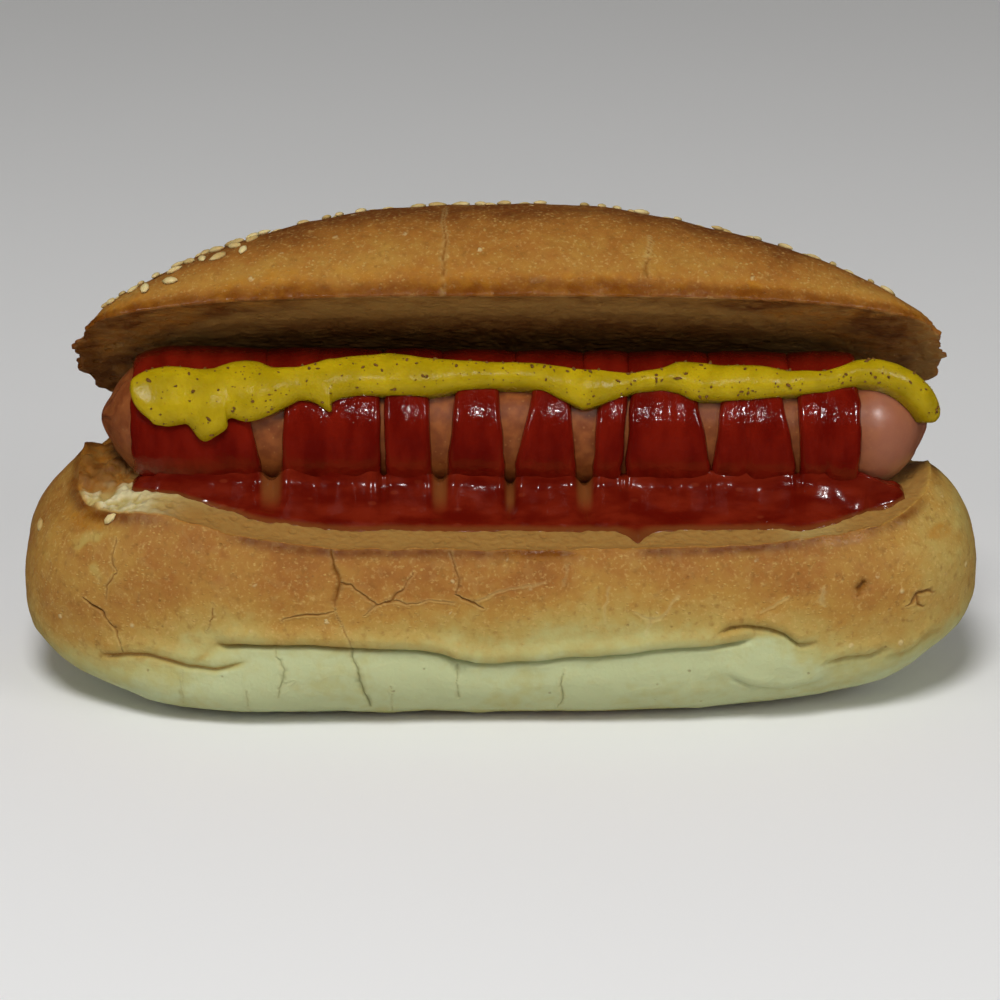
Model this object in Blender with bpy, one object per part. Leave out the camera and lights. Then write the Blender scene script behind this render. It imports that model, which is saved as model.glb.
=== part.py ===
"""A hot dog: a sausage in a sesame roll that is split from the front, with ketchup and mustard.

The roll stands on Z = 0 with its length along X and its mouth towards -Y. Its two halves are one
piece of bread, joined by a hinge of crust along the back. The sausage lies in the mouth on the lower
half, the ketchup coats it in bands and fills the corner in front of it, and the mustard runs along it.
"""

import math

import bmesh
import bpy
import numpy as np
from mathutils import Matrix, Vector, noise

# Driving sizes, in metres and radians.
ROLL_LENGTH = 0.190
ROLL_WIDTH = 0.071
WIDEST_HEIGHT = 0.021  # the roll is widest here, above the table
CUT_HEIGHT = 0.0425  # of the knife's cut, on the roll's centre line
CUT_SLOPE = math.radians(10)  # the cut climbs towards the back
CROWN_HEIGHT = 0.0305  # of the upper half's dome, above its own cut
CROWN_LENGTH = 0.1745
CROWN_SHIFT = 0.0018  # it sits a little to the right of the lower half
CROWN_TILT = math.radians(40)  # the upper half's cut, opened from level
HINGE_BREAD = 0.006  # uncut bread behind the hinge line
SAUSAGE_LENGTH = 0.1635
SAUSAGE_RADIUS = 0.01275
SAUSAGE_CENTRE = Vector((0.0028, -0.0040, 0.0536))
CLEARANCE = 0.0003  # left between pieces that touch

# The lower half's crust. Latitudes are in degrees, counted up from the widest height.
PLAN_EXPONENT = 3.0  # of the superellipse seen from above, blunt at both ends
SHOULDER_EXPONENT = 2.3  # of the crust above the widest height
KEEL_LENGTH_EXPONENT = 3.0  # of the crust below it, along the roll
KEEL_WIDTH_EXPONENT = 4.0  # and across the roll
RIM_LATITUDE = 28.0  # where the cut leaves the crust
FOLD_LATITUDE = -10.0  # of the crease along the side, where the dough sat down on the tray
HEEL_LATITUDES = (RIM_LATITUDE, 25, 20, 11, 2, -5, -9, FOLD_LATITUDE, -13, -19, -30, -43, -57, -70, -81, -90)
FOLD_DEPTH = 0.0016
FOLD_OVERHANG = 0.0010
FOLD_WIDTH = 3.5
FOLD_WAVE = 2.0  # how far the crease wanders up and down
FOLD_WAVE_LENGTH = 0.030
BASE_FLAT = 0.0012  # pressed flat by the roll's weight
LEFT_LIFT = 0.0055  # the cut runs higher at the left end
BACK_DROP = 0.0085  # and falls away at the back of both ends, past the hinge
LUMP_DEPTH = 0.0009
LUMP_LENGTH = 0.032
HEEL_SEGMENTS = 48

# The upper half's dome.
DOME_LENGTH_EXPONENT = 2.4
DOME_LENGTH_POWER = 0.95
DOME_WIDTH_EXPONENT = 2.2
CROWN_HOLLOW = 0.0015  # its cut face is dished
CROWN_SEGMENTS, CROWN_RINGS = 48, 18

# The ketchup: a coat on the sausage and a pool in the corner in front of it.
COAT = 0.0018
COAT_TOP = math.radians(102)  # angles round the sausage count up from its front
COAT_FOOT = math.radians(-22)
SKIN_STRIPS = (  # bare skin between the bands: place along the sausage, width, angle of its foot
    (-0.0485, 0.0094, -0.34),
    (-0.0142, 0.0052, -0.34),
    (0.0002, 0.0058, -0.30),
    (0.0135, 0.0052, -0.34),
    (0.0378, 0.0056, -0.12),
    (0.0530, 0.0032, -0.12),
)
STRIP_TAPER = 0.55  # a strip's foot, as a share of its top
POOL_START, POOL_END = -0.0770, 0.0760  # along the sausage from its middle
POOL_SHARE = 0.45  # of the sheet's rows that lie in the pool
POOL_MARGIN = 0.0062  # of bare cut in front of it
POOL_NARROWING = 0.45  # the share by which it draws back at both ends
POOL_LEAST = 0.0030  # it reaches at least this far in front of the coat's foot
POOL_RIM = 0.0009  # its thickness at the front edge
POOL_HOLLOW = 1.25  # above 1 its surface sags between the edge and the coat
KETCHUP_GRID = (66, 9)

# The mustard: one bead along the sausage's upper front, hanging over the right end.
MUSTARD_START = -0.0750
MUSTARD_TAIL = 1.10  # how far it goes round the right end, in sausage radii
MUSTARD_HEIGHT = 0.0034
MUSTARD_EDGE = 0.0004  # thickness left at its edges
MUSTARD_MIDDLE = math.radians(59)
MUSTARD_HALF_WIDTH = 0.0046
MUSTARD_WAVE = math.radians(5)
MUSTARD_WAVE_LENGTH = 0.014
MUSTARD_DRIPS = (  # place along the sausage, drop, width
    (-0.0650, 0.0046, 0.0110),
    (-0.0594, 0.0032, 0.0028),
    (-0.0368, 0.0022, 0.0024),
    (0.0138, 0.0030, 0.0050),
)
MUSTARD_GRID = (58, 6)

# Worked out from those.
half_length, half_width = ROLL_LENGTH / 2, ROLL_WIDTH / 2
rim_share = math.cos(math.radians(RIM_LATITUDE)) ** (2 / SHOULDER_EXPONENT)
rim_length, rim_width = half_length * rim_share, half_width * rim_share
crown_half_length = CROWN_LENGTH / 2
straight = SAUSAGE_LENGTH / 2 - SAUSAGE_RADIUS  # half of the sausage between its round ends
mustard_end = straight + MUSTARD_TAIL * SAUSAGE_RADIUS


def smoothstep(low, high, value):
    t = min(1.0, max(0.0, (value - low) / (high - low)))
    return t * t * (3 - 2 * t)


def bump(distance):
    """A smooth hill, 1 high at 0 and gone by about 2."""
    return math.exp(-distance * distance)


def lumps(point):
    return LUMP_DEPTH * noise.noise(point / LUMP_LENGTH)


def even_outline():
    """Directions of the roll's superellipse, spaced so that equal shares of a turn are equal lengths."""
    turn = np.linspace(0, 2 * math.pi, 2001)
    across, along = np.sin(turn), np.cos(turn)
    x = half_length * np.sign(along) * np.abs(along) ** (2 / PLAN_EXPONENT)
    y = half_width * np.sign(across) * np.abs(across) ** (2 / PLAN_EXPONENT)
    length = np.concatenate([[0], np.cumsum(np.hypot(np.diff(x), np.diff(y)))])
    return length / length[-1], x / half_length, y / half_width


OUTLINE = even_outline()


def plan(turn):
    """The roll's outline from above, as shares of its half length and half width."""
    share = turn / (2 * math.pi) % 1.0
    return np.interp(share, OUTLINE[0], OUTLINE[1]), np.interp(share, OUTLINE[0], OUTLINE[2])


def rim_y(x, reach):
    """Half the width of a cut that is reach long each way, at a place x along it."""
    end = min(1.0, abs(x) / reach)
    return rim_width * (1 - end**PLAN_EXPONENT) ** (1 / PLAN_EXPONENT)


def cut_height(x, y):
    """The lower half's cut face."""
    left = LEFT_LIFT * smoothstep(-0.03, -0.085, x)
    back = BACK_DROP * smoothstep(0.062, 0.084, abs(x)) * smoothstep(-0.006, 0.018, y)
    return CUT_HEIGHT + y * math.tan(CUT_SLOPE) + left - back


def fold_push(latitude, x):
    """How far the side crease moves the crust in (-) or out (+), fading at the roll's ends."""
    wave = FOLD_WAVE * noise.noise(Vector((x / FOLD_WAVE_LENGTH, 7.0, 0.0)))
    above = (latitude - FOLD_LATITUDE - wave) / FOLD_WIDTH
    fade = smoothstep(1.0, 0.8, abs(x) / half_length)
    return fade * (FOLD_OVERHANG * bump(above - 1.6) - FOLD_DEPTH * bump(above))


def heel_crust(turn, latitude):
    """A point on the lower half's crust."""
    east, north = plan(turn)
    angle = math.radians(latitude)
    cos, sin = max(0.0, math.cos(angle)), math.sin(angle)
    if sin >= 0:
        along = across = cos ** (2 / SHOULDER_EXPONENT)
        top = math.sin(math.radians(RIM_LATITUDE)) ** (2 / SHOULDER_EXPONENT)
        climb = sin ** (2 / SHOULDER_EXPONENT) / top
    else:
        along = cos ** (2 / KEEL_LENGTH_EXPONENT)
        across = cos ** (2 / KEEL_WIDTH_EXPONENT)
        climb = -(abs(sin) ** (2 / KEEL_LENGTH_EXPONENT))
    x, y = half_length * east * along, half_width * north * across
    if climb >= 0:
        z = WIDEST_HEIGHT + climb * (cut_height(x, y) - WIDEST_HEIGHT)
    else:
        z = WIDEST_HEIGHT * (1 + climb)
        z = max(0.0, (z - BASE_FLAT) * WIDEST_HEIGHT / (WIDEST_HEIGHT - BASE_FLAT))
    lumpy = cos * smoothstep(RIM_LATITUDE, RIM_LATITUDE - 18, latitude)
    push = lumps(Vector((x, y, z))) * lumpy + fold_push(latitude, x)
    return Vector((x + push * east, y + push * north, z))


def heel_point(polar, turn, rings):
    """A unit sphere's vertex, moved: its upper half makes the cut face, its lower half the crust."""
    share = polar / (math.pi / 2)
    if share > 1:
        return heel_crust(turn, HEEL_LATITUDES[round((share - 1) * (rings // 2))])
    edge = heel_crust(turn, RIM_LATITUDE)
    x, y = share * edge.x, share * edge.y
    return Vector((x, y, cut_height(x, y)))


def crown_point(polar, turn, rings):
    """A unit sphere's vertex, moved: its upper half makes the dome, its lower half the dished cut."""
    east, north = plan(turn)
    if polar > math.pi / 2:
        share = 2 - polar / (math.pi / 2)
        hollow = CROWN_HOLLOW * (1 - share**2)
        return Vector((share * crown_half_length * east, share * rim_width * north, hollow))
    x, y = math.sin(polar) * crown_half_length * east, math.sin(polar) * rim_width * north
    end = min(1.0, abs(x) / crown_half_length)
    side = min(1.0, abs(y) / max(rim_y(x, crown_half_length), 1e-6))
    along = (1 - end**DOME_LENGTH_EXPONENT) ** DOME_LENGTH_POWER
    across = (1 - side**DOME_WIDTH_EXPONENT) ** (1 / DOME_WIDTH_EXPONENT)
    height = CROWN_HEIGHT + lumps(Vector((x, y, 0.1)))
    return Vector((x, y, height * along * across))


def ball(segments, rings, shape):
    """A sphere whose every vertex is moved by shape(polar, turn, rings)."""
    bm = bmesh.new()
    bmesh.ops.create_uvsphere(bm, u_segments=segments, v_segments=rings, radius=1.0)
    for vertex in bm.verts:
        polar = math.acos(max(-1.0, min(1.0, vertex.co.z)))
        vertex.co = shape(polar, math.atan2(vertex.co.y, vertex.co.x), rings)
    return bm


def material(name, colour, roughness):
    made = bpy.data.materials.new(name)
    made.use_nodes = True
    shader = made.node_tree.nodes["Principled BSDF"]
    shader.inputs["Base Color"].default_value = (*colour, 1.0)
    shader.inputs["Roughness"].default_value = roughness
    shader.inputs["Metallic"].default_value = 0.0
    return made


def piece(name, bm, collection, finish=None):
    bmesh.ops.recalc_face_normals(bm, faces=bm.faces)
    mesh = bpy.data.meshes.new(name)
    bm.to_mesh(mesh)
    bm.free()
    mesh.shade_smooth()
    mesh.set_sharp_from_angle(angle=math.radians(50))
    if finish:
        mesh.materials.append(finish)
    made = bpy.data.objects.new(name, mesh)
    collection.objects.link(made)
    return made


def helper(name, bm, collection):
    """A piece that only cuts or joins another."""
    made = piece(name, bm, collection)
    made.hide_render = True
    made.display_type = "WIRE"
    return made


def boolean(target, operation, other):
    modifier = target.modifiers.new(f"{operation.lower()}_{other.name}", "BOOLEAN")
    modifier.operation = operation
    modifier.object = other


def axis(x):
    """The sausage's centre line: it dips a little to the right and bows back at its ends."""
    away = (x - SAUSAGE_CENTRE.x) / (SAUSAGE_LENGTH / 2)
    return SAUSAGE_CENTRE.y + 0.0010 * away**2, SAUSAGE_CENTRE.z - 0.0007 * away


def on_sausage(run, angle, clear):
    """A point clear of the skin, run metres along it from the middle, at an angle up from the front."""
    radius = SAUSAGE_RADIUS + clear
    over = max(0.0, abs(run) - straight) / SAUSAGE_RADIUS
    x = SAUSAGE_CENTRE.x + math.copysign(min(abs(run), straight) + radius * math.sin(over), run)
    y, z = axis(x)
    ring = radius * math.cos(over)
    return Vector((x, y - ring * math.cos(angle), z + ring * math.sin(angle)))


def sausage_body(clear):
    """The sausage, or one that is clear metres fatter all round."""
    bm = bmesh.new()
    bmesh.ops.create_uvsphere(bm, u_segments=20, v_segments=16, radius=SAUSAGE_RADIUS + clear)
    bmesh.ops.rotate(bm, verts=bm.verts, matrix=Matrix.Rotation(math.pi / 2, 3, "Y"))
    for vertex in bm.verts:
        if abs(vertex.co.x) > 1e-6:  # the middle ring stays where it is
            vertex.co.x += math.copysign(straight, vertex.co.x)
    long_edges = [edge for edge in bm.edges if edge.calc_length() > straight / 2]
    bmesh.ops.subdivide_edges(bm, edges=long_edges, cuts=4, use_grid_fill=True)
    for vertex in bm.verts:
        vertex.co.x += SAUSAGE_CENTRE.x
        y, z = axis(vertex.co.x)
        vertex.co.y += y
        vertex.co.z += z
    return bm


def sheet_solid(grid, place):
    """A closed sheet of sauce: a grid laid along the inside of place, extruded out to its outside."""
    bm = bmesh.new()
    bmesh.ops.create_grid(bm, x_segments=grid[0], y_segments=grid[1], size=0.5)
    shares = {vertex: (vertex.co.x + 0.5, vertex.co.y + 0.5) for vertex in bm.verts}
    raised = bmesh.ops.extrude_face_region(bm, geom=list(bm.faces), use_keep_orig=True)["geom"]
    for vertex in [item for item in raised if isinstance(item, bmesh.types.BMVert)]:
        vertex.co = place(vertex.co.x + 0.5, vertex.co.y + 0.5, False)
    for vertex, (u, v) in shares.items():
        vertex.co = place(u, v, True)
    return bm


def pool_edge(x):
    """How far forward the ketchup reaches on the lower half's cut."""
    shrink = POOL_NARROWING * smoothstep(0.056, 0.080, abs(x))
    return -(rim_y(x, rim_length) - POOL_MARGIN) * (1 - shrink)


def ketchup_place(u, v, inside):
    """v runs from the pool's front edge (0), up the corner (POOL_SHARE) and over the sausage (1)."""
    run = POOL_START + (POOL_END - POOL_START) * u
    clear = CLEARANCE if inside else CLEARANCE + COAT
    if v >= POOL_SHARE:
        climb = (v - POOL_SHARE) / (1 - POOL_SHARE)
        return on_sausage(run, COAT_FOOT + (COAT_TOP - COAT_FOOT) * climb, clear)
    foot = on_sausage(run, COAT_FOOT, clear)
    share = v / POOL_SHARE
    front = min(pool_edge(foot.x), foot.y - POOL_LEAST)
    y = front + (foot.y - front) * share
    floor = cut_height(foot.x, y) + CLEARANCE
    if inside:
        return Vector((foot.x, y, floor + (foot.z - floor) * smoothstep(0.75, 1.0, share)))
    return Vector((foot.x, y, floor + POOL_RIM + (foot.z - floor - POOL_RIM) * share**POOL_HOLLOW))


def skin_strips():
    """Wedges that cut the ketchup's coat through to the skin, narrower towards the pool."""
    bm = bmesh.new()
    height = 2.5 * SAUSAGE_RADIUS
    for run, width, depth in SKIN_STRIPS:
        made = bmesh.ops.create_cube(bm, size=1.0)["verts"]
        foot = on_sausage(run, depth, 0.0)
        for vertex in made:
            taper = 1.0 if vertex.co.z > 0 else STRIP_TAPER
            vertex.co = Vector((
                foot.x + vertex.co.x * width * taper,
                foot.y + vertex.co.y * 4 * SAUSAGE_RADIUS,
                foot.z + (vertex.co.z + 0.5) * height,
            ))
    return bm


def mustard_edges(run):
    """The mustard's lower and upper edge on the sausage, as angles up from the front."""
    wave = MUSTARD_WAVE * noise.noise(Vector((run / MUSTARD_WAVE_LENGTH, 3.0, 0.0)))
    wide = MUSTARD_HALF_WIDTH + 0.0010 * noise.noise(Vector((run / 0.010, 9.0, 0.0)))
    wide *= math.sqrt(smoothstep(-0.003, 0.004, run - MUSTARD_START))
    wide *= math.sqrt(smoothstep(-0.001, 0.006, mustard_end - run))
    drip = sum(drop * bump((run - centre) / width) for centre, drop, width in MUSTARD_DRIPS)
    over = max(0.0, run - straight) / SAUSAGE_RADIUS
    reach = (SAUSAGE_RADIUS + COAT) * math.cos(over)
    middle = MUSTARD_MIDDLE + wave
    return middle - (wide + drip) / reach, middle + wide / reach


def mustard_place(u, v, inside):
    """u runs along the bead, v across it from its lower edge."""
    run = MUSTARD_START + (mustard_end - MUSTARD_START) * u
    low, high = mustard_edges(run)
    across = math.sin((v - 0.5) * math.pi)  # rows crowd towards the steep edges
    dome = math.sqrt(1 - (0.97 * across) ** 2)
    thinner = smoothstep(mustard_end + 0.6 * SAUSAGE_RADIUS, straight, run)
    thick = 0.0 if inside else MUSTARD_EDGE + MUSTARD_HEIGHT * thinner * dome
    clear = 2 * CLEARANCE + COAT + thick
    return on_sausage(run, (low + high) / 2 + across * (high - low) / 2, clear)


def open_crown(crown):
    """Turns the upper half back about the hinge line, on the cut of the lower half."""
    hinge_y = rim_width - HINGE_BREAD
    hinge = Matrix.Translation((0, hinge_y, cut_height(0, hinge_y)))
    to_hinge = Matrix.Translation((CROWN_SHIFT, -hinge_y, 0))
    crown.matrix_world = hinge @ Matrix.Rotation(-CROWN_TILT, 4, "X") @ to_hinge


def centre_on_base(objects):
    """Moves everything so that the whole stands on the origin at the middle of its box."""
    bpy.context.view_layer.update()
    graph = bpy.context.evaluated_depsgraph_get()
    shown = [made.evaluated_get(graph) for made in objects if not made.hide_render]
    corners = np.array([made.matrix_world @ v.co for made in shown for v in made.data.vertices])
    low, high = corners.min(axis=0), corners.max(axis=0)
    shift = Vector((-(low[0] + high[0]) / 2, -(low[1] + high[1]) / 2, -low[2]))
    for made in objects:
        made.matrix_world = Matrix.Translation(shift) @ made.matrix_world


def main():
    for old in list(bpy.data.objects):
        bpy.data.objects.remove(old)
    parts = bpy.data.collections.new("hot_dog")
    cutters = bpy.data.collections.new("cutters")
    for collection in (parts, cutters):
        bpy.context.scene.collection.children.link(collection)

    bread = material("bread", (0.40, 0.22, 0.06), 0.75)
    skin = material("sausage_skin", (0.32, 0.11, 0.05), 0.35)
    red = material("ketchup", (0.16, 0.008, 0.002), 0.15)
    yellow = material("mustard", (0.45, 0.30, 0.01), 0.35)

    roll = piece("roll", ball(HEEL_SEGMENTS, 2 * (len(HEEL_LATITUDES) - 1), heel_point), parts, bread)
    crown = helper("crown", ball(CROWN_SEGMENTS, CROWN_RINGS, crown_point), cutters)
    open_crown(crown)
    space = helper("sausage_space", sausage_body(CLEARANCE), cutters)
    boolean(roll, "UNION", crown)
    boolean(roll, "DIFFERENCE", space)
    sausage = piece("sausage", sausage_body(0), parts, skin)
    strips = helper("strips", skin_strips(), cutters)
    ketchup = piece("ketchup", sheet_solid(KETCHUP_GRID, ketchup_place), parts, red)
    boolean(ketchup, "DIFFERENCE", strips)
    mustard = piece("mustard", sheet_solid(MUSTARD_GRID, mustard_place), parts, yellow)
    centre_on_base([roll, sausage, ketchup, mustard, crown, space, strips])


main()
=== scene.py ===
"""How the hot dog looks: a sausage in a split sesame roll, with ketchup and mustard.

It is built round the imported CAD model, in metres, with the length along X and the mouth towards -Y.
The roll and the sauces are made in the maker's own frame and then stood where the CAD sausage lies.
"""

import math

import bmesh
import bpy
import numpy as np
from mathutils import Matrix, Vector, noise


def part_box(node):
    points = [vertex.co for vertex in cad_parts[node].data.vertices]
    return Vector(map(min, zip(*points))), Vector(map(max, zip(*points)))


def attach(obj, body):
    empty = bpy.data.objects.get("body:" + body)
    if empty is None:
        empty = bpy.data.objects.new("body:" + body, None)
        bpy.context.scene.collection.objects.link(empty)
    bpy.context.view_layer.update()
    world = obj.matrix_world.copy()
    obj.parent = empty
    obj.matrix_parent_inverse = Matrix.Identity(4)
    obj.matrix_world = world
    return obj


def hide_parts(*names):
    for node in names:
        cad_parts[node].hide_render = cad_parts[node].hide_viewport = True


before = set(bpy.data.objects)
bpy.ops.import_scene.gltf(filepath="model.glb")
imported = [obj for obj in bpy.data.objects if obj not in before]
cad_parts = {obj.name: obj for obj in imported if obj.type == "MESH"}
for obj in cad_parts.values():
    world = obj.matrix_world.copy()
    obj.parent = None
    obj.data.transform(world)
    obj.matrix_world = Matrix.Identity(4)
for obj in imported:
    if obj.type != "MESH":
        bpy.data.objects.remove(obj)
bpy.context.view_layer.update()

# ---------------------------------------------------------------------------------------------------
# The lower half of the roll: soft wheat bread with a thin crust, golden brown on its shoulder and
# pale under the crease where the dough sat down on the tray. Baked in one piece, then cut flat on top
# with a knife. It is one closed shell: a ball whose top is the cut and whose rest is the crust.
MM = 0.001
HALF_LENGTH, HALF_WIDTH = 0.095, 0.0355
WIDEST_HEIGHT = 0.021
CUT_HEIGHT, CUT_SLOPE = 0.0425, math.radians(10)
LEFT_LIFT, BACK_DROP = 0.0055, 0.0085
RIM_LATITUDE = math.radians(28)
SAUSAGE_RADIUS = 0.01275
SAUSAGE_MIDDLE = Vector((0.0028, -0.0040, 0.0536))
HEEL_SEGMENTS, HEEL_RINGS = 392, 160
CUT_SHARE = 0.3  # of the ball's rings, from its top, that lie in the cut
SIDE_SHARE = 0.8  # of the crust's rings that lie on its side, and not underneath
SIDE_FOOT = 0.9  # how far down the side they end, as a share of the widest height

sausage_low, sausage_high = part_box("sausage")
STAND = np.array((
    (sausage_low.x + sausage_high.x) / 2 - SAUSAGE_MIDDLE.x,
    sausage_low.y + SAUSAGE_RADIUS - SAUSAGE_MIDDLE.y,
    (sausage_low.z + sausage_high.z) / 2 - SAUSAGE_MIDDLE.z,
))

# Creases across the front, from left to right, in mm: depth, overhang, then the line's x and height.
CREASES = (
    (1.7, 1.1, ((-56, 17.6), (-54.6, 18.6), (-43.8, 19.0), (-28.3, 19.0), (-15.9, 18.2), (-10.1, 17.0), (-4, 15.4))),
    (1.3, 0.9, ((-12, 16.6), (-5.3, 15.1), (0, 14.9), (8.6, 15.9), (19, 16.6), (28.3, 17.6), (40.7, 18.2), (50, 19.4))),
    (1.1, 0.8, ((40.5, 20.0), (44.4, 22.2), (47.5, 22.5), (51.8, 21.8), (55.0, 20.6), (57.6, 18.4), (62.5, 17.8))),
    (0.9, 0.6, ((62.0, 13.2), (66.5, 14.3), (71.1, 14.4), (74.3, 15.3), (77.0, 14.8))),
    (0.6, 0.4, ((74.5, 12.9), (80.1, 13.6), (83.7, 16.6), (88.0, 16.2))),
    (0.5, 0.4, ((43.0, 12.0), (49.1, 9.2), (56.1, 7.8), (64.0, 9.8))),
    (0.9, 0.6, ((-79.5, 13.2), (-73.2, 14.9), (-68.2, 15.2), (-63.9, 14.7), (-60.4, 13.8), (-55.4, 13.6), (-48.0, 15.0))),
    (0.7, 0.5, ((-60.5, 14.3), (-58.0, 15.6), (-55.4, 17.6))),
)
# Cracks in the front's crust, in mm: how pale each is, then its points' x, height and half width.
CRACKS = (
    (0.2, ((-74.5, 37.0, 0.06), (-75.3, 33.0, 0.14), (-74.5, 30.9, 0.07), (-76.2, 28.0, 0.14), (-76.7, 24.3, 0.05))),
    (0.0, ((-81.2, 24.6, 0.12), (-79.4, 23.6, 0.34), (-77.4, 22.6, 0.25), (-76.4, 21.2, 0.11), (-75.0, 18.9, 0.15), (-73.4, 15.4, 0.06))),
    (0.1, ((-55.4, 26.8, 0.05), (-55.6, 23.8, 0.15), (-56.7, 20.9, 0.06))),
    (0.0, ((-32.6, 37.0, 0.08), (-31.6, 33.2, 0.36), (-30.9, 31.2, 0.25), (-31.5, 29.4, 0.40), (-31.9, 27.0, 0.12))),
    (0.3, ((-31.9, 27.0, 0.09), (-31.3, 24.7, 0.07), (-29.8, 22.0, 0.07), (-28.6, 19.3, 0.09))),
    (0.1, ((-30.9, 31.2, 0.16), (-28.8, 30.7, 0.12), (-25.9, 28.7, 0.11), (-23.6, 27.1, 0.10), (-20.8, 28.1, 0.19))),
    (0.1, ((-20.8, 28.1, 0.19), (-18.7, 30.2, 0.11), (-16.4, 33.3, 0.05))),
    (0.3, ((-26.2, 25.0, 0.05), (-23.6, 27.0, 0.10))),
    (0.4, ((-20.8, 28.1, 0.17), (-18.2, 27.3, 0.11), (-14.1, 27.9, 0.06), (-8.7, 27.5, 0.06))),
    (0.1, ((-9.6, 36.4, 0.09), (-8.5, 33.4, 0.12), (-7.9, 31.5, 0.12), (-8.7, 29.2, 0.11), (-7.4, 28.2, 0.21), (-5.2, 27.3, 0.21), (-3.3, 26.2, 0.06))),
    (0.7, ((-4.8, 27.6, 0.09), (-2.5, 28.6, 0.06), (-0.6, 29.8, 0.05), (4.0, 30.6, 0.05), (8.6, 31.2, 0.05))),
    (0.2, ((-42.4, 23.5, 0.06), (-38.3, 25.0, 0.15), (-35.9, 25.2, 0.15), (-33.5, 25.4, 0.09), (-31.9, 25.9, 0.06))),
    (0.3, ((-43.4, 18.4, 0.12), (-43.3, 16.3, 0.11), (-41.7, 13.4, 0.18), (-42.2, 11.3, 0.18), (-43.2, 7.5, 0.07))),
    (0.6, ((-42.2, 10.8, 0.09), (-39.6, 11.4, 0.05))),
    (0.2, ((-28.3, 18.4, 0.12), (-28.7, 16.2, 0.22), (-27.6, 14.0, 0.24), (-27.2, 11.0, 0.42), (-26.4, 8.0, 0.40), (-25.2, 4.6, 0.20))),
    (0.5, ((-49.3, 8.8, 0.11), (-48.8, 3.2, 0.11))),
    (0.5, ((-21.4, 10.0, 0.05), (-21.2, 3.2, 0.09))),
    (0.3, ((-8.0, 14.2, 0.12), (-8.6, 10.6, 0.09), (-8.2, 7.2, 0.16))),
    (0.5, ((-61.8, 12.8, 0.05), (-61.9, 5.0, 0.06))),
    (0.3, ((12.3, 13.4, 0.06), (11.7, 10.3, 0.13), (12.3, 7.6, 0.16), (11.2, 4.0, 0.07))),
    (0.0, ((70.6, 29.2, 0.85), (69.8, 28.2, 0.80), (69.2, 26.8, 0.20))),
    (0.9, ((62.4, 28.6, 0.16), (61.9, 26.6, 0.26), (62.6, 25.4, 0.10))),
    (0.2, ((78.6, 23.7, 0.08), (80.2, 24.1, 0.28), (81.0, 25.7, 0.45), (83.0, 26.1, 0.38), (84.4, 25.3, 0.12))),
    (0.1, ((81.0, 25.7, 0.35), (81.6, 23.5, 0.28), (82.6, 22.3, 0.08))),
    (0.9, ((29.0, 23.9, 0.30), (30.8, 24.4, 0.16), (34.4, 28.6, 0.08))),
    (0.9, ((29.0, 23.9, 0.25), (28.2, 21.2, 0.08))),
    (0.9, ((29.0, 23.9, 0.20), (26.0, 25.4, 0.08))),
    (0.8, ((20.8, 30.4, 0.05), (20.2, 27.0, 0.09), (20.0, 23.6, 0.05))),
    (0.8, ((50.4, 25.0, 0.05), (55.3, 27.4, 0.07))),
    (0.5, ((12.8, 34.4, 0.06), (12.2, 30.8, 0.05))),
)
# Stains under the rim, in mm: x, height, half length, half height, then how scorched and how glazed.
STAINS = (
    (-81.5, 38.6, 5.0, 1.5, 0.15, 1.0),
    (9.5, 36.4, 9.0, 1.2, 0.2, 0.8),
    (19.7, 38.4, 3.6, 0.8, 0.9, 0.0),
    (41.0, 38.3, 13.5, 0.9, 1.0, 0.3),
    (66.0, 37.0, 4.8, 1.0, 0.4, 0.8),
    (72.5, 38.6, 2.0, 0.8, 0.9, 0.0),
    (85.5, 36.0, 2.4, 1.4, 0.1, 0.8),
)


def step(low, high, value):
    """0 below low, 1 above high and smooth between them."""
    t = np.clip((value - low) / (high - low), 0.0, 1.0)
    return t * t * (3 - 2 * t)


def hill(distance):
    """1 at 0, gone by about 2."""
    return np.exp(-np.square(distance))


def drift(points, length, start=0.0):
    """Smooth noise from about -1 to 1 at each point."""
    return np.array([noise.noise(point) for point in (points / length + start).tolist()])


def roll_outline():
    """The roll's plan as shares of its half length and width, with more of each turn on its front."""
    turn = np.linspace(0, 2 * math.pi, 8001)
    across, along = np.sin(turn), np.cos(turn)
    east = np.sign(along) * np.abs(along) ** (2 / 3)
    north = np.sign(across) * np.abs(across) ** (2 / 3)
    length = np.hypot(np.diff(east) * HALF_LENGTH, np.diff(north) * HALF_WIDTH)
    length *= np.where(north[1:] < 0, 1.35, 0.65)
    length = np.concatenate([[0], np.cumsum(length)])
    return length / length[-1], east, north


OUTLINE = roll_outline()
RIM_SHARE = math.cos(RIM_LATITUDE) ** (2 / 2.3)
RIM_LENGTH, RIM_WIDTH = HALF_LENGTH * RIM_SHARE, HALF_WIDTH * RIM_SHARE


def sphere_places(bm):
    """Each vertex's angle down from the ball's top, and the roll's plan in its direction."""
    points = np.array([vertex.co for vertex in bm.verts])
    points /= np.linalg.norm(points, axis=1)[:, None]
    turn = np.arctan2(points[:, 1], points[:, 0]) / (2 * math.pi) % 1.0
    east, north = np.interp(turn, OUTLINE[0], OUTLINE[1]), np.interp(turn, OUTLINE[0], OUTLINE[2])
    return np.arccos(np.clip(points[:, 2], -1, 1)), east, north


def right_lift(x):
    return 0.0034 * step(0.072, 0.092, x)


def cut_height(x, y):
    left = LEFT_LIFT * step(0.03, 0.085, -x)
    back = BACK_DROP * step(0.062, 0.084, np.abs(x)) * step(-0.006, 0.018, y)
    corner = 0.0050 * step(-0.064, -0.084, x) * step(0.006, -0.010, y)
    return CUT_HEIGHT + y * math.tan(CUT_SLOPE) + left + right_lift(x) - back - corner


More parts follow.
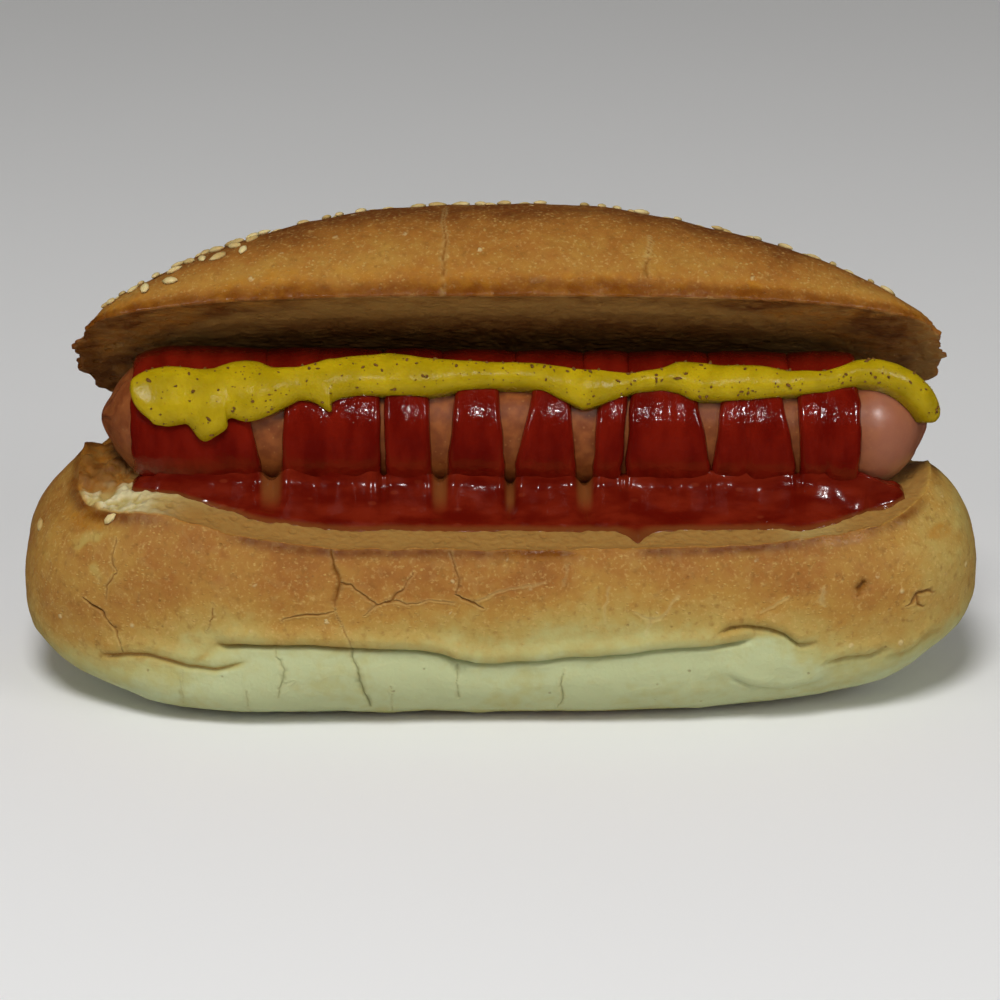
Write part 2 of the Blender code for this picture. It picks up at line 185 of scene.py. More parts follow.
def heel_shell(bm):
    """The plain lower half: points, how far each is out on the cut (1 and over is crust), and its place down the side."""
    polar, east, north = sphere_places(bm)
    share = polar / math.pi
    inward = np.clip(share / CUT_SHARE, 0, 1) ** 0.6
    down = np.clip((share - CUT_SHARE) / (1 - CUT_SHARE), 0, 1)
    foot = (1 - SIDE_FOOT**3) ** 0.25
    under = np.clip((1 - down) / (1 - SIDE_SHARE), 0, 1) * foot
    side = 1 - (1 + SIDE_FOOT) * np.clip(down / SIDE_SHARE, 0, 1)
    climb = np.where(down > SIDE_SHARE, -((1 - under**4) ** (1 / 3)), side)
    sine = math.sin(RIM_LATITUDE) * np.clip(climb, 0, 1) ** 1.15
    keel = 1 - np.clip(-climb, 0, 1) ** 3
    along = np.where(climb >= 0, (1 - sine**2) ** (1 / 2.3), keel ** (1 / 3)) * inward
    across = np.where(climb >= 0, (1 - sine**2) ** (1 / 2.3), keel**0.25) * inward
    x, y = HALF_LENGTH * east * along, HALF_WIDTH * north * across
    pressed = 0.0012  # the base is flat where the roll's weight presses it
    above = WIDEST_HEIGHT + climb * (cut_height(x, y) - WIDEST_HEIGHT)
    below = (WIDEST_HEIGHT * (1 + climb) - pressed) * WIDEST_HEIGHT / (WIDEST_HEIGHT - pressed)
    z = np.where(climb >= 0, above, np.maximum(0, below)) + right_lift(x) * (1 - np.clip(climb, 0, 1))
    points = np.stack([x, y, z], axis=1)
    lumpy = np.sqrt(np.where(climb >= 0, 1 - sine**2, keel))
    lumpy *= step(RIM_LATITUDE, math.radians(10), np.arcsin(sine)) * (down > 0)
    push = 0.0009 * lumpy * drift(points, 0.032)
    points += push[:, None] * np.stack([east, north, np.zeros(len(x))], axis=1)
    sag = hill((x + 0.064) / 0.026) * hill((points[:, 2] - 0.004) / 0.010) * step(0, 0.02, -y)
    points -= np.outer(sag, (0, 0.0038, 0.0010))
    return points, inward + down, climb


def crack_marks(x, z, cracks):
    """How many half widths each point lies from the nearest crack, that crack's half width and its paleness."""
    near, wide, pale = np.full(len(x), 9.0), np.zeros(len(x)), np.zeros(len(x))
    for paleness, line in cracks:
        for (x0, z0, w0), (x1, z1, w1) in zip(line[:-1], line[1:]):
            run, rise = x1 - x0, z1 - z0
            t = np.clip(((x - x0) * run + (z - z0) * rise) / (run * run + rise * rise), 0, 1)
            width = w0 + (w1 - w0) * t
            distance = np.hypot(x - x0 - t * run, z - z0 - t * rise) / width
            closer = distance < near
            near[closer], wide[closer], pale[closer] = distance[closer], width[closer], paleness
    return near, wide, pale


def fine_mesh_near(bm, shell, cracks, reach, front_only):
    """Cuts each edge near a crack in two, so that the crack has faces of its own size."""
    points = shell(bm) / MM
    front = points[:, 1] < -3 if front_only else np.abs(points[:, 1]) > 3
    x = np.where(points[:, 1] < 0, points[:, 0], -points[:, 0])
    near, wide, _ = crack_marks(x, points[:, 2], cracks)
    close = front & (near * wide < reach)
    bm.verts.ensure_lookup_table()
    edges = [edge for edge in bm.edges if close[edge.verts[0].index] and close[edge.verts[1].index]]
    bmesh.ops.subdivide_edges(bm, edges=edges, cuts=1, use_grid_fill=True)
    bm.verts.index_update()


def put(bm, points):
    for vertex, point in zip(bm.verts, points.tolist()):
        vertex.co = point


def outward(bm):
    bm.normal_update()
    return np.array([vertex.normal for vertex in bm.verts])


def finished(name, bm, material, nodes, marks=None):
    """Makes the piece, in its place in the row frame, with its marks as attributes for the material."""
    bmesh.ops.translate(bm, verts=bm.verts, vec=STAND)
    bmesh.ops.recalc_face_normals(bm, faces=bm.faces)
    mesh = bpy.data.meshes.new(name)
    bm.to_mesh(mesh)
    bm.free()
    for mark, values in (marks or {}).items():
        attribute = mesh.attributes.new(mark, "FLOAT", "POINT")
        attribute.data.foreach_set("value", np.clip(values, 0, 1).astype(np.float32))
    mesh.shade_smooth()
    mesh.materials.append(material)
    made = bpy.data.objects.new(name, mesh)
    bpy.context.scene.collection.objects.link(made)
    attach(made, "root")
    for node in nodes:
        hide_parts(node)
    return made


class Shade:
    """A value in a material: arithmetic on it adds Math nodes, and node() adds any other node."""

    def __init__(self, tree, socket=None):
        self.tree, self.socket = tree, socket

    def node(self, kind, settings=None, inputs=None, output=0):
        made = self.tree.nodes.new("ShaderNode" + kind)
        for setting, value in (settings or {}).items():
            if setting != "stops":
                setattr(made, setting, value)
                continue
            elements = made.color_ramp.elements
            elements.remove(elements[1])
            for number, (place, colour) in enumerate(value):
                element = elements[0] if number == 0 else elements.new(place)
                element.position = place
                element.color = (*colour, 1.0)
        for name, value in (inputs or {}).items():
            if isinstance(value, Shade):
                self.tree.links.new(value.socket, made.inputs[name])
            else:
                four = made.inputs[name].type == "RGBA" and len(value) == 3
                made.inputs[name].default_value = (*value, 1.0) if four else value
        return Shade(self.tree, made.outputs[output])

    def sum(self, operation, *values):
        return self.node("Math", {"operation": operation}, dict(enumerate(values)))

    def __add__(self, other):
        return self.sum("ADD", self, other)

    __radd__ = __add__

    def __sub__(self, other):
        return self.sum("SUBTRACT", self, other)

    def __rsub__(self, other):
        return self.sum("SUBTRACT", other, self)

    def __mul__(self, other):
        return self.sum("MULTIPLY", self, other)

    __rmul__ = __mul__

    def above(self, low, high):
        """0 below low, 1 above high and smooth between them."""
        span = {"Value": self, "From Min": low, "From Max": high}
        return self.node("MapRange", {"interpolation_type": "SMOOTHSTEP"}, span)

    def mark(self, name):
        return self.node("Attribute", {"attribute_name": name}, output="Fac")

    def noise(self, size, detail=2.0, stretch=(1, 1, 1)):
        """Soft noise between 0 and 1, of about that size in metres, longer where stretch is under 1."""
        place = self.node("TexCoord", output="Object")
        place = self.node("Mapping", {}, {"Vector": place, "Scale": [s / size for s in stretch]})
        return self.node("TexNoise", {}, {"Vector": place, "Scale": 1.0, "Detail": detail})

    def spots(self, spacing, radius, share, stretch=(1, 1, 1)):
        """Round spots 1 high, in that share of the cells of a grid of that spacing."""
        place = self.node("TexCoord", output="Object")
        place = self.node("Mapping", {}, {"Vector": place, "Scale": [s / spacing for s in stretch]})
        distance = self.node("TexVoronoi", {}, {"Vector": place, "Scale": 1.0}, "Distance")
        chance = self.node("TexVoronoi", {}, {"Vector": place, "Scale": 1.0}, "Color")
        chance = chance.node("SeparateColor", {}, {"Color": chance}, "Red")
        return (1 - distance.above(radius * 0.5, radius)) * (1 - chance.above(share - 0.02, share + 0.02))

    def over(self, under, colour, share):
        """The colour laid over another by a share."""
        return self.node("Mix", {"data_type": "RGBA"}, {0: share, 6: under, 7: colour}, 2)


def finish(name, **fixed):
    """A new material, its shader with fixed values on it, and a Shade to start its nodes from."""
    made = bpy.data.materials.new(name)
    made.use_nodes = True
    shader = made.node_tree.nodes["Principled BSDF"]
    for socket, value in fixed.items():
        shader.inputs[socket.replace("_", " ")].default_value = value
    return made, shader, Shade(made.node_tree)


def wire(shader, **values):
    for socket, value in values.items():
        value.tree.links.new(value.socket, shader.inputs[socket.replace("_", " ")])


bread, bread_shader, s = finish(
    "bread", Subsurface_Weight=0.05, Subsurface_Scale=0.002, IOR=1.4, Specular_IOR_Level=0.35,
)
# "bake" is how brown the crust is, with painted shade along the heel's creases, "crumb" the cut or torn inside, "soak"
# where sauce has tinted it, "toast" scorched and sticky places and painted shade over the crown's cut, "crack" the
# inside of a crack and "flake" a pale, lifted edge.
bake_and_shade = s.mark("bake_and_shade") + (s.noise(0.010, 4.0) - 0.5) * 0.42 + (s.noise(0.0024, 3.0) - 0.5) * 0.26
crust = s.node("ValToRGB", {"stops": (
    (0.00, (0.450, 0.480, 0.255)),
    (0.18, (0.420, 0.385, 0.145)),
    (0.36, (0.400, 0.280, 0.070)),
    (0.55, (0.370, 0.195, 0.034)),
    (0.75, (0.300, 0.118, 0.018)),
    (1.00, (0.150, 0.042, 0.006)),
)}, {"Fac": bake_and_shade})
brown = bake_and_shade.above(0.15, 0.45)
blisters = s.spots(0.0011, 0.34, 0.36, (1, 1, 1.7)) * brown
flour = s.spots(0.0048, 0.17, 0.34) * s.noise(0.0012).above(0.42, 0.60) * brown
pits = s.spots(0.0030, 0.13, 0.25)
crust = s.over(crust, (0.520, 0.340, 0.095), blisters * s.noise(0.006).above(0.3, 0.7) * 0.60)
crust = s.over(crust, (0.560, 0.430, 0.200), flour * 0.75)
crust = s.over(crust, (0.560, 0.370, 0.120), s.noise(0.0007, 3.0).above(0.53, 0.74) * brown * 0.42)
crust = s.over(crust, (0.200, 0.085, 0.012), s.noise(0.0015, 3.0).above(0.52, 0.76) * brown * 0.50)
crust = s.over(crust, (0.180, 0.080, 0.015), pits * 0.35)
toast_and_shade = s.mark("toast_and_shade") * (s.noise(0.0035, 3.0).above(0.32, 0.62) * 0.4 + 0.6)
glaze = s.mark("glaze") * (s.noise(0.0018, 3.0).above(0.30, 0.65) * 0.8 + 0.2)
crust = s.over(crust, (0.400, 0.165, 0.014), glaze * 0.65)
crust = s.over(crust, (0.135, 0.036, 0.004), toast_and_shade * 0.95)
flake = s.mark("flake")
crust = s.over(crust, (0.540, 0.430, 0.170), flake * 0.45)
holes = s.spots(0.0026, 0.42, 0.55)
grain = s.noise(0.0012, 3.0)
inside = s.over((0.430, 0.330, 0.110), (0.270, 0.165, 0.040), holes * 0.55)
inside = s.over(inside, (0.560, 0.470, 0.200), grain.above(0.45, 0.75) * 0.5)
inside = s.over(inside, (0.305, 0.148, 0.030), s.mark("soak") * (0.75 + grain * 0.35))
inside = s.over(inside, (0.620, 0.550, 0.330), flake * 0.85)
inside = s.over(inside, (0.330, 0.115, 0.009), glaze * 0.8)
# This dark colour is scorching, and on the crown's cut it is also painted shade.
inside = s.over(inside, (0.110, 0.030, 0.003), toast_and_shade * 0.92)
colour = s.over(crust, inside, s.mark("crumb"))
crack = s.mark("crack")
colour = s.over(colour, (0.210, 0.075, 0.008), crack * brown * 0.85)
colour = s.over(colour, (0.260, 0.245, 0.095), crack * (1 - brown) * 0.70)
rough = 0.52 + s.noise(0.004) * 0.16 - toast_and_shade * 0.26 - glaze * 0.26 + s.mark("crumb") * 0.25
relief = blisters * 0.7 + flour + s.noise(0.0008, 3.0) * 0.9 - pits * 0.8 + s.noise(0.0032) * 0.6
relief = relief * (1 - s.mark("crumb")) + (grain * 1.4 - holes * 1.2) * s.mark("crumb")
bump = s.node("Bump", {}, {"Strength": 0.6, "Distance": 0.00024, "Height": relief})
wire(bread_shader, Base_Color=colour, Roughness=rough, Normal=bump)

heel = bmesh.new()
bmesh.ops.create_uvsphere(heel, u_segments=HEEL_SEGMENTS, v_segments=HEEL_RINGS, radius=1.0)
fine_mesh_near(heel, lambda bm: heel_shell(bm)[0], CRACKS, 0.9, False)
fine_mesh_near(heel, lambda bm: heel_shell(bm)[0], CRACKS, 0.55, True)
points, out, climb = heel_shell(heel)
put(heel, points)
on_crust = out > 1.0001
away = outward(heel)
points += away * (0.00032 * drift(points, 0.009, 5.0) + 0.00012 * drift(points, 0.003, 9.0))[:, None] * on_crust[:, None]

# The creases and cracks run the other way round on the back.
face = np.where(points[:, 1] < 0, 1.0, -1.0)
x, z = points[:, 0] * face / MM, points[:, 2] / MM
side = on_crust & (np.abs(points[:, 1]) > 0.003)
beside = on_crust * step(0.003, 0.010, np.abs(points[:, 1]))
crease_shade = np.zeros(len(x))
line_noise = drift(np.stack([x, face * 3, np.zeros(len(x))], axis=1), 6.0)
for depth, overhang, line in CREASES:
    places, heights = np.array(line).T
    up = z - np.interp(x, places, heights) - 0.35 * line_noise
    fade = step(places[0], places[0] + 4, x) * (1 - step(places[-1] - 5, places[-1], x)) * beside
    push = overhang * hill((up - 1.5) / 1.5) - depth * hill((up + 0.35) / 0.75)
    push -= 0.35 * depth * hill((up + 2.2) / 2.4)
    points += away * (push * fade * MM)[:, None]
    points[:, 2] -= 0.45 * depth * hill((up - 0.55) / 0.6) * fade * MM
    crease_shade = np.maximum(crease_shade, hill((up + 0.2) / 0.7) * fade)
bulge = hill(np.hypot(x - 55, (z - 13.5) * 1.4) / 8) * beside
points += away * (0.0008 * bulge)[:, None]

wander = np.stack([x, z, face], axis=1)
x_torn = x + 0.32 * drift(wander, 1.3) + 0.25 * drift(wander, 4.0)
z_torn = z + 0.32 * drift(wander, 1.3, 40.0) + 0.25 * drift(wander, 4.0, 40.0)
near, wide, pale = crack_marks(x_torn, z_torn, CRACKS)
near /= 0.85 + 0.5 * drift(wander, 1.9, 60.0)
near[~side] = 9.0
dent = (0.20 + 1.8 * wide) * hill(near / 1.1) * (1 - pale)
lip = 0.12 * hill((near * wide - wide - 0.35) / 0.28) * (near < 9) + 0.10 * pale * hill(near / 2.5)
points += away * ((lip - dent) * MM)[:, None]

# The rim is ragged, the crumb is torn at the left end, and a thin lip of crust stands proud of the cut.
cut = ~on_crust
edge = np.clip(out, 0, 1)
torn = step(-0.060, -0.078, points[:, 0]) * cut
coarse, fine = drift(points, 0.0042, 3.0), drift(points, 0.0013, 6.0)
points[:, 2] += cut * (0.00018 * fine + 0.00022 * coarse)
points[:, 2] += torn * (0.0011 * coarse + 0.0005 * fine)
points[:, 0] += 0.0022 * step(0.032, 0.047, points[:, 2]) * step(-0.068, -0.086, points[:, 0])
rim = hill((out - 1) / 0.035)
points[:, 2] += rim * (0.00035 + 0.00030 * coarse)

points[:, 2] = np.maximum(points[:, 2], 0)
height = points[:, 2] / MM
shoulder = height + 2.2 * drift(points, 0.022, 2.0) + 9.0 * step(55, 88, np.abs(x)) - 3.5 * hill((x - 24) / 26)
bake_and_shade = 0.06 + 0.10 * step(8, 16, shoulder) + 0.24 * step(13, 24, shoulder) + 0.32 * step(19, 31, shoulder)
tray_line = z - np.interp(x, *np.array(CREASES[0][2] + CREASES[1][2][2:]).T)
bake_and_shade -= 0.22 * step(0.9, -0.6, tray_line) * step(62, 46, np.abs(x - 2)) * beside
# Painted shade: the crust is darkened along the creases, more in their left part, on top of its real browning.
bake_and_shade += 0.22 * crease_shade * step(-14, -30, x) + 0.08 * crease_shade
bake_and_shade -= 0.30 * step(0.064, 0.090, points[:, 0]) + 0.10 * step(-60, -85, x) + 0.30 * hill((x + 80) / 5) * hill((z - 33) / 5) * step(-0.2, 0.3, coarse)
bake_and_shade = np.where(height < 3, 0.05 + 0.5 * step(0.9, 0.5, np.hypot(points[:, 0] / 0.095, points[:, 1] / 0.036)), bake_and_shade)
toast_and_shade = hill((out - 1.012) / 0.022) * on_crust * step(-0.10, 0.35, drift(points, 0.016, 8.0) + 0.25)
toast_and_shade += torn * step(-0.012, -0.006, points[:, 1]) * (0.45 + 0.5 * step(-0.2, 0.2, coarse))
glaze = torn * step(-0.014, -0.008, points[:, 1]) * (0.5 + 0.5 * step(0.2, -0.1, coarse))
for middle, level, half_length, half_height, scorched, glazed in STAINS:
    apart = np.hypot((x - middle) / half_length, (z - level - 0.5 * drift(wander, 3.0)) / half_height)
    toast_and_shade = np.maximum(toast_and_shade, scorched * step(1.3, 0.7, apart) * on_crust * (face > 0))
    glaze = np.maximum(glaze, glazed * step(1.4, 0.6, apart) * on_crust * (face > 0))
soak = cut * step(0.070, 0.055, np.abs(points[:, 0] + 0.004)) * step(-0.010, -0.024, points[:, 1])
soak += torn * step(-0.014, -0.008, points[:, 1]) + cut * step(0.056, 0.070, points[:, 0])
white = torn * step(-0.007, -0.013, points[:, 1]) * step(-0.25, 0.25, coarse + 0.5 * fine)
heel_surface = points
put(heel, points)
finished("roll_heel", heel, bread, ["roll"], {
    "bake_and_shade": bake_and_shade,
    "crumb": cut * step(1.0, 0.985, out) + 0.0,
    "soak": soak,
    "toast_and_shade": toast_and_shade,
    "glaze": glaze,
    "crack": hill(near / 1.25) * (1 - 0.8 * pale),
    "flake": hill((near * wide - wide - 0.22) / 0.22) * 0.3 * (near < 9) + pale * hill(near / 2.4) * (height > 19) + white,
})

# ---------------------------------------------------------------------------------------------------
# The upper half of the roll: a domed, well browned crust, scorched and sticky along the knife's edge,
# over a cut face of pale crumb, with rough torn ends. It leans back on the hinge of bread that joins
# the halves, and is a second closed shell sunk a little way into the lower half there.
CROWN_HALF_LENGTH, CROWN_HEIGHT = 0.08725, 0.0297
CROWN_SHIFT, CROWN_TILT = 0.0018, math.radians(40)
HINGE_BREAD = 0.006
CROWN_SEGMENTS, CROWN_RINGS = 380, 176
RISE = 48.0  # mm of crust from the rim over to the top
CROWN_CRACKS = (
    (0.35, ((-12.9, 0.0, 0.10), (-12.6, 4.0, 0.12), (-13.0, 8.0, 0.18), (-12.3, 12.0, 0.09), (-12.9, 18.0, 0.08), (-12.5, 27.0, 0.05))),
    (0.1, ((26.6, 3.4, 0.10), (25.9, 5.2, 0.30), (26.4, 7.0, 0.26), (27.2, 8.2, 0.10))),
    (0.5, ((26.4, 8.0, 0.08), (27.0, 12.0, 0.08), (27.2, 15.0, 0.06))),
    (0.0, ((4.6, 2.0, 0.45), (6.0, 2.4, 0.50))),
)


def dome_height(x, y):
    """The crust's height over the crown's own cut."""
    end = np.clip(np.abs(x) / CROWN_HALF_LENGTH, 0, 1)
    rim = RIM_WIDTH * (1 - end**3) ** (1 / 3)
    side = np.clip(np.abs(y) / np.maximum(rim, 1e-6), 0, 1)
    height = CROWN_HEIGHT * (1 - 0.06 * step(0, 0.05, x)) + 0.0009 * drift(np.stack([x, y, x * 0 + 0.1], axis=1), 0.032)
    return height * (1 - end**2.4) ** 0.95 * (1 - side**2.2) ** (1 / 2.2)


def crown_shell(bm):
    """The plain upper half, lying level: points, and how far round from its top each lies, 1 at the rim."""
    polar, east, north = sphere_places(bm)
    round_share = polar / (math.pi / 2)
    domed = round_share < 1.00001
    reach = np.where(domed, np.sin(polar), np.clip(2 - round_share, 0, 1))
    x, y = reach * CROWN_HALF_LENGTH * east, reach * RIM_WIDTH * north
    z = np.where(domed, dome_height(x, y), 0.0015 * (1 - reach**2))
    return np.stack([x, y, z], axis=1), round_share


def crown_face(bm):
    """The crown's points as the cracks know them: x, side and mm up from the rim."""
    points, round_share = crown_shell(bm)
    return np.stack([points[:, 0], points[:, 1], (1 - round_share) * RISE * MM], axis=1)


def lean_back(points):
    """Turns points of the level crown back about the hinge."""
    hinge_y = RIM_WIDTH - HINGE_BREAD
    hinge = Matrix.Translation((0, hinge_y, cut_height(0, hinge_y)))
    turned = hinge @ Matrix.Rotation(-CROWN_TILT, 4, "X") @ Matrix.Translation((CROWN_SHIFT, -hinge_y, 0))
    turned = np.array(turned)
    return points @ turned[:3, :3].T + turned[:3, 3]


crown = bmesh.new()
bmesh.ops.create_uvsphere(crown, u_segments=CROWN_SEGMENTS, v_segments=CROWN_RINGS, radius=1.0)
fine_mesh_near(crown, crown_face, CROWN_CRACKS, 0.8, True)
points, round_share = crown_shell(crown)
put(crown, points)
domed = round_share < 1.0001
away = outward(crown)
points += away * (0.00035 * drift(points, 0.008, 5.0) + 0.00012 * drift(points, 0.0028, 9.0))[:, None] * domed[:, None]

face = np.where(points[:, 1] < 0, 1.0, -1.0)
x, rise = points[:, 0] * face / MM, (1 - round_share) * RISE
wander = np.stack([x, rise, face], axis=1)
x_torn = x + 0.30 * drift(wander, 1.2) + 0.25 * drift(wander, 4.0)
near, wide, pale = crack_marks(x_torn, rise, CROWN_CRACKS)
near[~domed] = 9.0
points += away * ((0.14 * hill((near * wide - wide - 0.3) / 0.25) * (near < 9) - (0.3 + 1.3 * wide) * hill(near / 1.1)) * MM)[:, None]

coarse, fine = drift(points, 0.0040, 3.0), drift(points, 0.0012, 6.0)
end = np.abs(points[:, 0]) / CROWN_HALF_LENGTH
ragged = step(0.90, 0.985, end)
points[:, 0] += np.sign(points[:, 0]) * ragged * (0.0011 * coarse + 0.0003 * fine - 0.0018)
points += away * (ragged * (0.0006 * coarse + 0.0003 * fine))[:, None]
rim = hill((round_share - 1) / 0.035)
points += away * (rim * (0.00020 + 0.00035 * coarse + 0.00018 * fine))[:, None]
cut = ~domed
points[:, 2] += cut * (0.00030 * coarse + 0.00018 * fine)

middle = step(2, 14, rise)
bake_and_shade = 1.10 - 0.46 * step(32, 7, rise) + 0.20 * step(5.0, 1.0, rise) + 0.07 * drift(points, 0.020, 2.0)
bake_and_shade += 0.16 * step(0.80, 0.97, end) + 0.10 * step(0.25, 0.6, end) * middle
left, right = step(-0.034, -0.060, points[:, 0]), step(0.026, 0.052, points[:, 0])
patches = step(-0.25, 0.25, drift(points, 0.013, 8.0) + 0.35 * drift(points, 0.004, 4.0))
toast_and_shade = domed * step(3.6, 0.8, rise + 1.2 * coarse) * (0.75 + 0.25 * patches)
glaze = (1 - 0.4 * cut) * step(8.0, 2.5, np.abs(rise) + 2.5 * coarse) * (0.35 + 0.65 * patches)
inward = 2 - round_share
toast_and_shade += step(0.74, 0.88, inward) * cut * (0.35 * patches + (left + right) * (0.15 + 0.60 * patches))
# Painted shade: the whole cut is darkened, and most where it lies furthest in from the rim, under the crown.
toast_and_shade += cut * (0.25 + 0.6 * step(0.78, 0.45, inward))
glaze += cut * step(0.62, 0.80, inward) * (left + right) * (1 - patches)
torn_right = step(0.86, 0.97, end) * (points[:, 0] > 0)
toast_and_shade = toast_and_shade * (1 - torn_right) + ragged * np.where(points[:, 0] < 0, 0.9, 0.25 * patches)
glaze = np.maximum(glaze, 0.6 * torn_right)
put(crown, lean_back(points))
finished("roll_crown", crown, bread, ["roll"], {
    "bake_and_shade": bake_and_shade,
    "crumb": cut * 1.0,
    "soak": cut * (1 - 0.2 * torn_right),
    "toast_and_shade": toast_and_shade,
    "glaze": glaze,
    "crack": hill(near / 1.25),
    "flake": hill((near * wide - wide - 0.22) / 0.22) * (0.1 + pale) * (near < 9),
})

# ---------------------------------------------------------------------------------------------------
# The sausage: a boiled frankfurter in a thin, slightly mottled skin, paler and shinier at its ends,
# where the casing draws in to a pinched tip. It lies in the mouth, pressed a little into the crumb.
SAUSAGE_LENGTH = 0.1605
STRAIGHT = SAUSAGE_LENGTH / 2 - SAUSAGE_RADIUS
TIP_RUN = STRAIGHT + SAUSAGE_RADIUS * math.pi / 2
SAUSAGE_SEGMENTS, SAUSAGE_RINGS = 128, 260
TIP_PLEATS = (0.5, 1.0, 1.55, 2.3, 3.1, 3.9, 4.7, 5.5)  # directions round the tip


def axis(x):
    """The sausage's centre line: it dips a little to the right and bows back at its ends."""
    away = (x - SAUSAGE_MIDDLE.x) / (SAUSAGE_LENGTH / 2)
    return SAUSAGE_MIDDLE.y + 0.0010 * away**2, SAUSAGE_MIDDLE.z - 0.0007 * away


def on_sausage(run, angle, clear):
    """Points clear of the skin, run metres along it from the middle, at an angle up from the front."""
    radius = SAUSAGE_RADIUS + clear
    over = np.clip(np.abs(run) - STRAIGHT, 0, None) / SAUSAGE_RADIUS
    x = SAUSAGE_MIDDLE.x + np.sign(run) * (np.minimum(np.abs(run), STRAIGHT) + radius * np.sin(over))
    y, z = axis(x)
    ring = radius * np.cos(over)
    return np.stack([x, y - ring * np.cos(angle), z + ring * np.sin(angle)], axis=1)


skin, skin_shader, s = finish(
    "sausage_skin", Subsurface_Weight=0.10, Subsurface_Scale=0.003, IOR=1.42, Coat_Roughness=0.30,
)
mottle = s.noise(0.0022, 4.0)
meat = s.over((0.172, 0.038, 0.005), (0.255, 0.071, 0.012), mottle.above(0.32, 0.68))
meat = s.over(meat, (0.34, 0.140, 0.040), s.spots(0.0009, 0.32, 0.30) * 0.45)
meat = s.over(meat, (0.10, 0.022, 0.006), s.spots(0.0016, 0.20, 0.22) * 0.5)
meat = s.over(meat, (0.340, 0.125, 0.070), s.mark("pale") * 0.75)
# Painted shade: the skin is darkened in the pleats at the tips.
meat = s.over(meat, (0.085, 0.020, 0.008), s.mark("pleat") * 0.6)
grain = s.noise(0.0006, 3.0) * 0.7 + mottle * 0.6
bump = s.node("Bump", {}, {"Strength": 0.35, "Distance": 0.00012, "Height": grain})
wire(skin_shader, Base_Color=meat, Roughness=0.42 - s.mark("pale") * 0.12 + grain * 0.06,
     Coat_Weight=s.mark("pale") * 0.7, Normal=bump)

sausage = bmesh.new()
bmesh.ops.create_uvsphere(sausage, u_segments=SAUSAGE_SEGMENTS, v_segments=SAUSAGE_RINGS, radius=1.0)
ball = np.array([vertex.co for vertex in sausage.verts])
along = 1 - 2 * np.arccos(np.clip(ball[:, 2], -1, 1)) / math.pi
angle = np.arctan2(ball[:, 1], ball[:, 0])
run = along * TIP_RUN
points = on_sausage(run, angle, 0.0)
put(sausage, points)
away = outward(sausage)
over = np.clip(np.abs(run) - STRAIGHT, 0, None) / SAUSAGE_RADIUS
pleat = np.zeros(len(run))
for number, turn in enumerate(TIP_PLEATS):
    bent = turn + 0.12 * math.sin(7 * turn) + 0.10 * np.sin(9 * over + turn)
    apart = np.abs((angle - bent + math.pi) % (2 * math.pi) - math.pi) * np.cos(over) * SAUSAGE_RADIUS / MM
    reach = 0.72 + 0.22 * math.sin(5 * turn)
    pleat = np.maximum(pleat, hill(apart / 0.32) * step(reach, reach + 0.45, over))
push = 0.00022 * drift(points, 0.009, 4.0) + 0.00006 * drift(points, 0.0022, 1.0) - 0.00035 * pleat
push -= 0.0009 * hill((1.5708 - over) / 0.22)
points += away * push[:, None]
put(sausage, points)
finished("sausage_in_skin", sausage, skin, ["sausage"], {
    "pale": step(0.062, 0.074, run) + 0.1 * step(-0.070, -0.078, run),
    "pleat": pleat,
})

# ---------------------------------------------------------------------------------------------------
# The ketchup's bands: thick, glossy ketchup laid over the sausage from behind, with bare skin or a
# narrow slit between each two. Each band is its own closed sheet, rounded at its sides and feet.
COAT = 0.0018
BAND_GRID = (34, 72)
BAND_FOOT, BAND_TOP = math.radians(-50), math.radians(104)
GAP_FOOT, GAP_TOP = math.radians(-20), math.radians(42)
COAT_LEFT, COAT_RIGHT = -74.8, 67.2  # mm along the sausage from its middle
GAPS = (  # place and width at the top, then at the foot, in mm
    (-48.5, 7.6, -47.5, 4.0),
    (-25.8, 0.5, -25.6, 0.9),
    (-14.2, 4.9, -14.6, 2.9),
    (0.1, 6.2, -0.9, 1.8),
    (13.4, 5.5, 13.6, 3.1),
    (22.2, 0.4, 21.2, 0.5),
    (37.8, 4.6, 38.3, 0.2),
    (53.4, 2.8, 55.2, 0.6),
)
BAND_FOLDS = ((45.1, 0.30), (-61.5, 0.16), (-36.0, 0.16), (60.4, 0.22), (30.0, 0.14))  # place and depth, mm


def gap_edges(gap, climb, closed):
    """Its left and right edges; behind the mustard, where closed is 1, the bands lap over each other."""
    top, top_width, foot, foot_width = gap
    middle = foot + (top - foot) * climb
    width = (foot_width + (top_width - foot_width) * climb) * (1 - closed) - 0.9 * closed
    return middle - width / 2, middle + width / 2


def sauce_sheet(bm, grid, place):
    """Adds a closed sheet of sauce: a grid laid on the inside of place and extruded to its outside."""
    first = len(bm.verts)
    bmesh.ops.create_grid(bm, x_segments=grid[0], y_segments=grid[1], size=0.5)
    bm.verts.ensure_lookup_table()
    lower = bm.verts[first:]
    faces = list({face for vertex in lower for face in vertex.link_faces})
    shares = np.array([vertex.co for vertex in lower]) + 0.5
    raised = bmesh.ops.extrude_face_region(bm, geom=faces, use_keep_orig=True)["geom"]
    upper = [item for item in raised if isinstance(item, bmesh.types.BMVert)]
    upper_shares = np.array([vertex.co for vertex in upper]) + 0.5
    for vertices, (u, v), inside in ((lower, shares[:, :2].T, True), (upper, upper_shares[:, :2].T, False)):
        for vertex, point in zip(vertices, place(u, v, inside).tolist()):
            vertex.co = point


